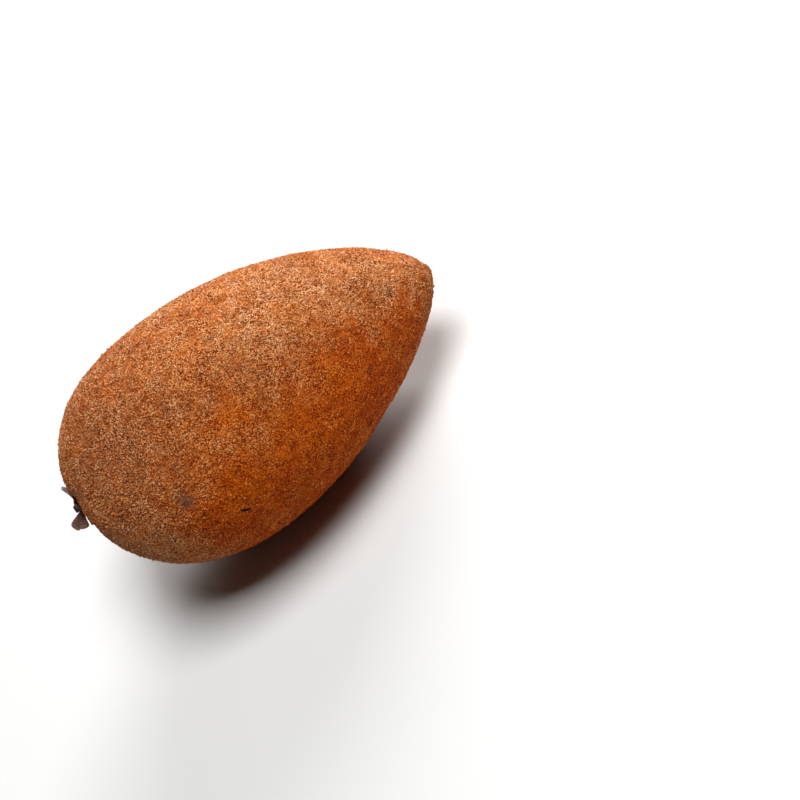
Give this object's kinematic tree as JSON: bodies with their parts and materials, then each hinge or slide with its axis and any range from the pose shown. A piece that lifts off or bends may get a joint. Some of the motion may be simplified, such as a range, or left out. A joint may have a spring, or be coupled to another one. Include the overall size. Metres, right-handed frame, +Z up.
{
  "type": "sapodilla",
  "caption": "Whole ripe sapodilla fruit, egg-shaped with a pointed blossom end, rough brown scurfy skin and a dry calyx, lying on its side.",
  "frame": {"origin": "middle of the small flat spot that the fruit rests on, straight below its centre of mass", "axes": "+X along the fruit from its stem end to its blossom end, +Z up, away from the surface it rests on"},
  "size_m": [0.0778, 0.0451, 0.0448],
  "materials": {
    "skin": "matte, finely granular brown scurf over orange-brown peel",
    "calyx": "dry, dull dark brown"
  },
  "bodies": {
    "root": {"fruit": "skin", "calyx": "calyx"}
  },
  "joints": []
}
